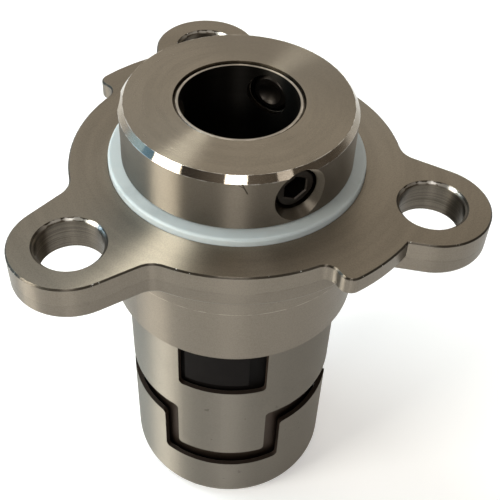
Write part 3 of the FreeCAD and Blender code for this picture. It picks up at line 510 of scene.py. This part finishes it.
def cover_steel():
    """The cover: turned and ground on top, with darker milled walls that keep a tool's witness line."""
    top_tone, wall_tone = COVER_TOP_TONE, COVER_WALL_TONE
    finish, g, shader, place = new_finish("cover_steel", 1.0, 0.38, 1.0)
    across_the_cut(g, shader, place, COVER_CUT_LEAD)
    z = g.split(place)[2]
    rings = g.use(TURNED_MARKS, Vector=place, Pitch=0.00022, Length=1.5)
    smudge = g.use(STAINS, Vector=place, Size=0.010, Cover=0.45)["Mask"]
    blotches = g.use(STAINS, Vector=place, Size=0.003, Cover=0.42)["Mask"]
    top = g.ramp(z, PLATE_TOP - 0.25 * MM, PLATE_TOP - 0.12 * MM)
    top_tint = g.mix(g.ramp(rings["Tone"], 0.3, 0.7), shade(top_tone, 0.95), shade(top_tone, 1.05))
    top_tint = g.mix(g.math("MULTIPLY", smudge, 0.14), top_tint, shade(top_tone, 0.7))
    wall_tint = g.mix(g.math("MULTIPLY", blotches, 0.35), colour(*wall_tone), shade(wall_tone, 0.86))
    milled = g.noise(g.vector("MULTIPLY", place, (40.0, 40.0, 4000.0)), 1.0, 3.0)
    milled_light = g.math("MULTIPLY", g.ramp(milled, 0.35, 0.75), 0.3)
    wall_tint = g.mix(milled_light, wall_tint, shade(wall_tone, 1.12))
    wavy = g.math("MULTIPLY", g.math("SUBTRACT", g.noise(place, 120.0, 2.0), 0.5), 1.2 * MM)
    level = g.math("ADD", z, wavy)
    below = g.math("MULTIPLY", g.between(level, 0.0, WITNESS_LEVEL, 0.35 * MM), 0.35)
    wall_tint = g.mix(below, wall_tint, shade(wall_tone, 0.78))
    witness = g.between(level, WITNESS_LEVEL - 0.14 * MM, WITNESS_LEVEL + 0.14 * MM, 0.14 * MM)
    broken = g.ramp(g.noise(place, 260.0, 3.0), 0.4, 0.6)
    witness_share = g.math("MULTIPLY", g.math("MULTIPLY", witness, broken), 0.3)
    wall_tint = g.mix(witness_share, wall_tint, shade(wall_tone, 0.5))
    tint = g.mix(top, wall_tint, top_tint)
    tint = add_speckle(g, place, tint, 0.14)
    rim = g.between(z, PLATE_TOP - 0.32 * MM, PLATE_TOP - 0.02 * MM, 0.02 * MM)
    # Painted shade: the bevel band just under the plate's top is darkened, standing in for its shadow
    # and dark reflection
    tint = g.mix(g.math("MULTIPLY", rim, 0.8), tint, shade(wall_tone, 0.25))
    nicks = g.math("MULTIPLY", rim, g.ramp(g.noise(place, 1300.0, 2.0), 0.66, 0.72))
    tint = g.mix(nicks, tint, colour(0.9, 0.88, 0.82))
    # Painted highlights, partly wear, on the land's and spigot's edges
    edges = [(LAND_RADIUS, LAND_END, 0.22 * MM), (SPIGOT_RADIUS - 0.4 * MM, SPIGOT_END, 0.2 * MM)]
    tint = add_edge_glints_and_wear(g, place, tint, edges, (0.36, 0.33, 0.28))
    for turn in EAR_TURNS:
        centre = (BOLT_CIRCLE_RADIUS * math.cos(turn), BOLT_CIRCLE_RADIUS * math.sin(turn), 0.0)
        from_hole = g.vector("SUBTRACT", place, centre)
        across, far, _ = g.split(from_hole)
        from_axis = g.length(g.join(across, far, 0.0))
        in_hole = g.ramp(from_axis, BOLT_HOLE_RADIUS + 0.4 * MM, BOLT_HOLE_RADIUS)
        # Painted shade: each bolt hole's wall is darkened, broken by vertical striations
        hole_wall_shade = g.math("ADD", 0.30, g.math("MULTIPLY", g.ramp(milled, 0.4, 0.7), 0.35))
        tint = g.mix(g.math("MULTIPLY", in_hole, hole_wall_shade), tint, shade(wall_tone, 0.2))
        # Painted highlight: each bolt hole's rim is lightened on its side towards +Y, where the
        # countersink catches the light
        rim_glint = [(BOLT_HOLE_RADIUS + 0.3 * MM, PLATE_TOP - 0.25 * MM, 0.45 * MM)]
        painted_rim_highlight = add_edge_glints_and_wear(g, from_hole, tint, rim_glint, (0.85, 0.82, 0.76))
        tint = g.mix(g.ramp(far, 2.0 * MM, 4.5 * MM), tint, painted_rim_highlight)
    g.put(shader.inputs["Base Color"], add_marks(g, place, tint, COVER_MARKS))
    worn = g.math("MULTIPLY", g.math("SUBTRACT", rings["Height"], 0.5), 0.12)
    gloss = g.math("ADD", 0.30, g.math("MULTIPLY", top, 0.03))
    g.put(shader.inputs["Roughness"], g.math("ADD", gloss, worn))
    sand = g.math("MULTIPLY", g.math("SUBTRACT", 1.0, top), g.noise(place, 5200.0, 2.0, 0.6))
    height = g.math("ADD", rings["Height"], g.math("MULTIPLY", sand, 5.0))
    height = g.math("ADD", height, g.math("MULTIPLY", nicks, -6.0))
    height = g.math("ADD", height, g.math("MULTIPLY", witness, -2.0))
    bump(g, shader, height, 0.000004)
    return finish


def cup_steel():
    """Pressed cup sheet: satin outside, with dark heat-tinted edges where it was cut."""
    tone = CUP_TONE
    finish, g, shader, place = new_finish("cup_sheet", 1.0, 0.52, 0.9)
    across_the_cut(g, shader, place)
    x, y, z = g.split(place)
    radius = g.length(g.join(x, y, 0.0))
    grain = g.noise(place, 7000.0, 3.0, 0.6)
    clouds = g.use(STAINS, Vector=place, Size=0.008, Cover=0.5)["Mask"]
    tint = g.mix(g.math("MULTIPLY", clouds, 0.3), colour(*tone), shade(tone, 0.82))
    dots = g.ramp(g.noise(place, 700.0, 1.0), 0.74, 0.8)
    tint = g.mix(g.math("MULTIPLY", dots, 0.5), tint, shade(tone, 0.35))
    mottle = g.ramp(g.noise(place, 2600.0, 3.0, 0.7), 0.35, 0.70)
    tint = g.mix(g.math("MULTIPLY", mottle, 0.16), tint, shade(tone, 0.45))
    shader.inputs["Specular IOR Level"].default_value = 0.1
    cut = g.between(radius, CUP_RADIUS - CUP_WALL, CUP_RADIUS - 0.06 * MM, 0.04 * MM)
    cut = g.math("MULTIPLY", cut, g.ramp(z, BASE_CORNER_LEVEL, BASE_CORNER_LEVEL + 0.2 * MM))
    tint = g.mix(cut, tint, colour(*HEAT_TINT))
    g.put(shader.inputs["Metallic"], g.math("SUBTRACT", 1.0, cut))
    g.put(shader.inputs["Base Color"], tint)
    gloss = g.math("ADD", 0.46, g.math("MULTIPLY", grain, 0.14))
    g.put(shader.inputs["Roughness"], g.math("ADD", gloss, g.math("MULTIPLY", cut, 0.3)))
    bump(g, shader, grain, 0.000008)
    return finish


def sheet_steel(name, tone, roughness, grain_size, depth):
    """Plain sheet or wire: a fine even grain with soft cloudy tone."""
    finish, g, shader, place = new_finish(name, 1.0, roughness)
    grain = g.noise(place, 1 / grain_size, 3.0, 0.6)
    clouds = g.use(STAINS, Vector=place, Size=0.006, Cover=0.5)["Mask"]
    g.put(shader.inputs["Base Color"], g.mix(clouds, colour(*tone), shade(tone, 0.75)))
    g.put(shader.inputs["Roughness"], g.math("ADD", roughness - 0.05, g.math("MULTIPLY", grain, 0.1)))
    bump(g, shader, grain, depth)
    return finish


def plain_solid(name, tone, roughness, gloss, grain_size, depth):
    """Rubber, plastic or carbide: two close tones, a grain and slightly uneven gloss."""
    finish, g, shader, place = new_finish(name, 0.0, roughness)
    shader.inputs["Specular IOR Level"].default_value = gloss
    grain = g.noise(place, 1 / grain_size, 4.0, 0.6)
    clouds = g.use(STAINS, Vector=place, Size=0.006, Cover=0.5)["Mask"]
    g.put(shader.inputs["Base Color"], g.mix(clouds, colour(*tone), shade(tone, 0.85)))
    g.put(shader.inputs["Roughness"], g.math("ADD", roughness - 0.04, g.math("MULTIPLY", grain, 0.08)))
    bump(g, shader, grain, depth)
    return finish, shader


def lug_carbide():
    """The rotary face: matt black, with painted shade making the recess between its lugs blacker still.
    """
    tone = FACE_TONE
    finish, g, shader, place = new_finish("face_carbide", 0.0, 0.6)
    shader.inputs["Specular IOR Level"].default_value = 0.04
    x, y, _ = g.split(place)
    radius = g.length(g.join(x, y, 0.0))
    grain = g.noise(place, 3300.0, 4.0, 0.6)
    clouds = g.use(STAINS, Vector=place, Size=0.006, Cover=0.5)["Mask"]
    tint = g.mix(clouds, colour(*tone), shade(tone, 0.85))
    # Painted shade in the recess between the lugs
    lug = g.ramp(radius, FACE_RADIUS - 1.2 * MM, FACE_RADIUS - 0.6 * MM)
    g.put(shader.inputs["Base Color"], g.mix(lug, shade(tone, 0.25), tint))
    g.put(shader.inputs["Roughness"], g.math("ADD", 0.56, g.math("MULTIPLY", grain, 0.08)))
    bump(g, shader, grain, 0.000006)
    return finish


def dress(node, finish):
    """Gives a CAD node's object this finish."""
    mesh = NODES[node].data
    mesh.materials.clear()
    mesh.materials.append(finish)


def make_finishes():
    """Every CAD node's finish. Returns the set screws' and the spring's own."""
    # The spring pot's dark brown is painted shade, for where it shows in the gap between the cups
    pot = sheet_steel("pot_sheet", (0.045, 0.031, 0.023), 0.5, 0.0002, 0.00001)
    small = turned_steel("small_steel", (0.30, 0.27, 0.24), 0.3, 0.00015, TURNED_DEPTH, 0.4)[0]
    wire = sheet_steel("spring_wire", (0.28, 0.25, 0.22), 0.32, 0.0003, 0.00001)
    screw = turned_steel("screw_steel", SCREW_TONE, 0.36, 0.0002, TURNED_DEPTH, 0.0)[0]
    ring, ring_shader = plain_solid("centring_plastic", RING_TONE, 0.42, 0.4, 0.0004, 0.000006)
    ring_shader.inputs["Subsurface Weight"].default_value = 0.35
    ring_shader.inputs["Subsurface Radius"].default_value = (0.0012, 0.0014, 0.0015)
    ring_shader.inputs["Subsurface Scale"].default_value = 1.0
    seat, _ = plain_solid("seat_carbide", (0.05, 0.05, 0.055), 0.25, 0.5, 0.0002, 0.000003)
    face = lug_carbide()
    rubber, _ = plain_solid("ring_rubber", (0.020, 0.020, 0.020), 0.45, 0.4, 0.0003, 0.00001)
    finishes = {
        cover_steel(): ["cover_flange"],
        collar_steel(): ["drive_collar"],
        sleeve_steel(): ["shaft_sleeve"],
        cup_steel(): ["upper_cup", "lower_cup"],
        pot: ["spring_pot"],
        small: ["spring_washer", "seat_pin_1", "seat_pin_2"],
        wire: ["retaining_ring"],
        ring: ["centring_ring"],
        seat: ["stationary_seat"],
        face: ["rotary_face"],
        rubber: ["shaft_o_ring", "face_o_ring", "seat_o_ring", "cover_o_ring"],
    }
    for finish, nodes in finishes.items():
        for node in nodes:
            dress(node, finish)
    return screw, wire


def round_mesh(name, points):
    """A closed mesh over a grid of points: rows along an axis, columns round it, ends at the poles."""
    rows, columns = points.shape[:2]
    row, column = np.meshgrid(np.arange(rows - 1), np.arange(columns), indexing="ij")
    beside = (column + 1) % columns
    corners = [row * columns + column, (row + 1) * columns + column,
               (row + 1) * columns + beside, row * columns + beside]
    faces = np.stack(corners, axis=-1).reshape(-1, 4)
    mesh = bpy.data.meshes.new(name)
    mesh.from_pydata(points.reshape(-1, 3).tolist(), [], faces.tolist())
    merged = bmesh.new()
    merged.from_mesh(mesh)
    bmesh.ops.remove_doubles(merged, verts=merged.verts, dist=0.000001)
    bmesh.ops.recalc_face_normals(merged, faces=merged.faces)
    merged.to_mesh(mesh)
    merged.free()
    mesh.shade_smooth()
    mesh.set_sharp_from_angle(angle=math.radians(28))
    return mesh


def make_set_screw(node, finish):
    """A threaded cup-point screw with a hexagon socket, in place of its plain CAD node.

    On the outside the radius is the lesser of the point's and head's cones and a thread, whose
    triangle wave advances one pitch a turn. The cup's depth falls with the square of the radius.
    Inside the head the radius is a regular hexagon's, half the flats over the cosine of the angle
    from the nearest flat's middle, down to the drill point.
    """
    joint = next(j for j in frame["joints"] if j["name"] == f"{node}_travel")
    out = np.array(joint["axis"], dtype=float)
    across = np.array([-out[1], out[0], 0.0])
    mesh_points = np.array([v.co for v in NODES[node].data.vertices])
    tip, head = (mesh_points @ out).min(), (mesh_points @ out).max()
    low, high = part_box(node)
    centre, radius = (low.z + high.z) / 2, (high.z - low.z) / 2
    turn = np.arange(144) * (2 * math.pi / 144)
    hexagon = SOCKET_FLATS / 2 / np.cos((turn + math.pi / 6) % (math.pi / 3) - math.pi / 6)
    ones = np.ones_like(turn)
    outside = np.linspace(tip, head, 132)[:, None]
    wave = np.abs((outside / SCREW_PITCH - turn / (2 * math.pi)) % 1.0 * 2 - 1)
    thread = radius - THREAD_DEPTH * np.clip(wave * 1.15 - 0.1, 0.0, 1.0)
    cones = np.minimum(radius - POINT_CONE + outside - tip, radius - HEAD_CONE + head - outside)
    rims = np.minimum(thread, cones)
    cup_share = np.linspace(0.0, 1.0, 9)
    cup = [
        (tip + CUP_POINT_DEPTH * (1 - share**2), CUP_POINT_RADIUS * share * ones)
        for share in cup_share
    ]
    socket = [
        (head, hexagon + 0.25 * MM),
        (head - 0.2 * MM, hexagon),
        (head - 3.9 * MM, hexagon),
        (head - 4.0 * MM, hexagon * 0.95),
        (head - 4.7 * MM, 0.0 * ones),
    ]
    along = [np.full_like(turn, place) for place, _ in cup]
    along += [np.full_like(turn, place) for place in outside[:, 0]]
    along += [np.full_like(turn, place) for place, _ in socket]
    along = np.stack(along)
    radii = np.concatenate([[r for _, r in cup], rims, [r for _, r in socket]])
    points = along[..., None] * out + (radii * np.cos(turn))[..., None] * across
    points[..., 2] += centre + radii * np.sin(turn)
    screw = bpy.data.objects.new(f"{node}_threaded", round_mesh(f"{node}_threaded", points))
    screw.data.materials.append(finish)
    bpy.context.scene.collection.objects.link(screw)
    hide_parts(node)
    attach(screw, node)


def make_spring(finish):
    """The coil spring in place of its CAD node, moving with the spring stack.

    Its path is a helix, whose height grows evenly with its turn. Round each point of the path the
    wire is a circle square to it, and what stands beyond the two ground ends is cut off level.
    """
    low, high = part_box("coil_spring")
    coil = high.x - SPRING_WIRE_RADIUS
    turn = np.linspace(0.0, 2 * math.pi * SPRING_TURNS, 330)
    level = np.linspace(low.z + SPRING_WIRE_RADIUS / 2, high.z - SPRING_WIRE_RADIUS / 2, turn.size)
    out = np.stack([np.cos(turn), np.sin(turn), np.zeros_like(turn)], axis=-1)
    path = out * coil + np.stack([np.zeros_like(turn), np.zeros_like(turn), level], axis=-1)
    along = np.gradient(path, axis=0)
    along /= np.linalg.norm(along, axis=-1, keepdims=True)
    up = np.cross(out, along)
    share = np.arange(24) * (2 * math.pi / 24)
    wire = np.cos(share)[:, None] * out[:, None] + np.sin(share)[:, None] * up[:, None]
    points = path[:, None] + SPRING_WIRE_RADIUS * wire
    ends = [np.repeat(path[i][None], share.size, axis=0)[None] for i in (0, -1)]
    points = np.concatenate([ends[0], points, ends[1]])
    points[..., 2] = np.clip(points[..., 2], low.z, high.z)
    spring = bpy.data.objects.new("spring_coils", round_mesh("spring_coils", points))
    spring.data.materials.append(finish)
    bpy.context.scene.collection.objects.link(spring)
    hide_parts("coil_spring")
    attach(spring, "spring_stack")
    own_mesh(spring)


def soft_light(name, compass, rise, turn, width, height, power, tint):
    """A soft box that faces the seal from a compass turn and a height, both in degrees."""
    data = bpy.data.lights.new(name, "AREA")
    data.shape = "RECTANGLE"
    data.size = width
    data.size_y = height
    data.energy = power
    data.color = tint
    light = bpy.data.objects.new(name, data)
    level = math.cos(math.radians(rise))
    turned = math.radians(compass)
    towards = Vector((level * math.cos(turned), level * math.sin(turned), math.sin(math.radians(rise))))
    light.location = towards * LAMP_DISTANCE
    facing = towards.to_track_quat("Z", "Y").to_matrix()
    light.rotation_euler = (facing @ Matrix.Rotation(math.radians(turn), 3, "Z")).to_euler()
    light.visible_camera = False
    bpy.context.scene.collection.objects.link(light)


# Light of the room by compass sector, from the left and round by the front, and overhead
ROOM = {
    "left": (0.32, 0.64, 0.98),
    "front_left": (0.09, 0.082, 0.075),
    "front": (0.30, 0.27, 0.24),
    "front_right": (0.16, 0.14, 0.12),
    "right": (0.14, 0.12, 0.10),
    "back_right": (0.34, 0.31, 0.26),
    "back": (1.16, 1.10, 1.00),
    "back_left": (0.60, 0.67, 0.72),
}
ROOM_CEILING = (0.62, 0.58, 0.52)

# Each soft box: its compass turn and height in degrees, turn about its own axis, width, height,
# power and tint
LAMPS = {
    "window": (208, 15, 0, 0.38, 0.50, 7.9, (1.0, 0.97, 0.88)),
    "ceiling": (157, 63, 81, 0.18, 0.50, 3.5, (0.95, 1.0, 0.96)),
    "front": (271, 25, 0, 0.27, 0.16, 1.7, (1.0, 1.0, 1.0)),
    "front_right": (314, 22, 0, 0.20, 0.16, 0.20, (1.0, 0.98, 0.97)),
    "left": (172, 16, 0, 0.36, 0.36, 0.25, (0.80, 1.0, 1.0)),
}
LAMP_DISTANCE = 0.9
PAPER_GLOW = 0.28
FAR_PAPER_GLOW = 0.30


def make_room():
    """The room's light: one colour for each compass sector, a pale horizon and a ceiling."""
    world = bpy.data.worlds.new("room")
    world.use_nodes = True
    bpy.context.scene.world = world
    g = Graph(world.node_tree)
    background = world.node_tree.nodes["Background"]
    direction = g.node("ShaderNodeTexCoord").outputs["Generated"]
    x, y, z = g.split(direction)
    turn = g.math("DIVIDE", g.math("ARCTAN2", y, x), 2 * math.pi)
    sectors = g.node("ShaderNodeValToRGB", Fac=g.math("ADD", turn, 0.5))
    stops = sectors.color_ramp
    stops.interpolation = "EASE"
    tints = list(ROOM.values()) + [ROOM["left"]]
    for i in range(1, len(tints) - 1):
        stops.elements.new(i / (len(tints) - 1))
    for stop, tint in zip(stops.elements, tints):
        stop.color = colour(*tint)
    upper = g.mix(g.ramp(z, 0.75, 0.95), sectors.outputs["Color"], colour(*ROOM_CEILING))
    g.put(background.inputs["Color"], g.mix(g.ramp(z, 0.02, 0.04), colour(0.95, 0.95, 0.95), upper))


def make_studio():
    """A pale floor under the seal, the room round it, and soft boxes."""
    reach = 3.0
    low = CAD_BOX[0].z
    mesh = bpy.data.meshes.new("floor")
    corners = [(-reach, -reach, low), (reach, -reach, low), (reach, reach, low), (-reach, reach, low)]
    mesh.from_pydata(corners, [], [(0, 1, 2, 3)])
    floor = bpy.data.objects.new("floor", mesh)
    bpy.context.scene.collection.objects.link(floor)
    paper = bpy.data.materials.new("paper")
    paper.use_nodes = True
    g = Graph(paper.node_tree)
    shader = paper.node_tree.nodes["Principled BSDF"]
    shader.inputs["Base Color"].default_value = colour(0.93, 0.93, 0.93)
    shader.inputs["Roughness"].default_value = 0.9
    shader.inputs["Specular IOR Level"].default_value = 0.1
    shader.inputs["Emission Color"].default_value = colour(1.0, 1.0, 1.0)
    ray = g.node("ShaderNodeLightPath").outputs
    seen = g.math("MAXIMUM", ray["Is Glossy Ray"], ray["Is Transmission Ray"])
    seen = g.math("MAXIMUM", ray["Is Camera Ray"], seen)
    away = g.length(g.node("ShaderNodeTexCoord").outputs["Object"])
    glow = g.math("ADD", PAPER_GLOW, g.math("MULTIPLY", g.ramp(away, 0.3, 1.8), FAR_PAPER_GLOW))
    g.put(shader.inputs["Emission Strength"], g.math("MULTIPLY", seen, glow))
    mesh.materials.append(paper)
    make_room()
    for name, lamp in LAMPS.items():
        soft_light(name, *lamp)


make_camera()
make_studio()
screw_finish, spring_finish = make_finishes()
make_spring(spring_finish)
for screw_node in ("set_screw_1", "set_screw_2", "set_screw_3"):
    make_set_screw(screw_node, screw_finish)
bpy.context.scene.view_settings.view_transform = "Standard"
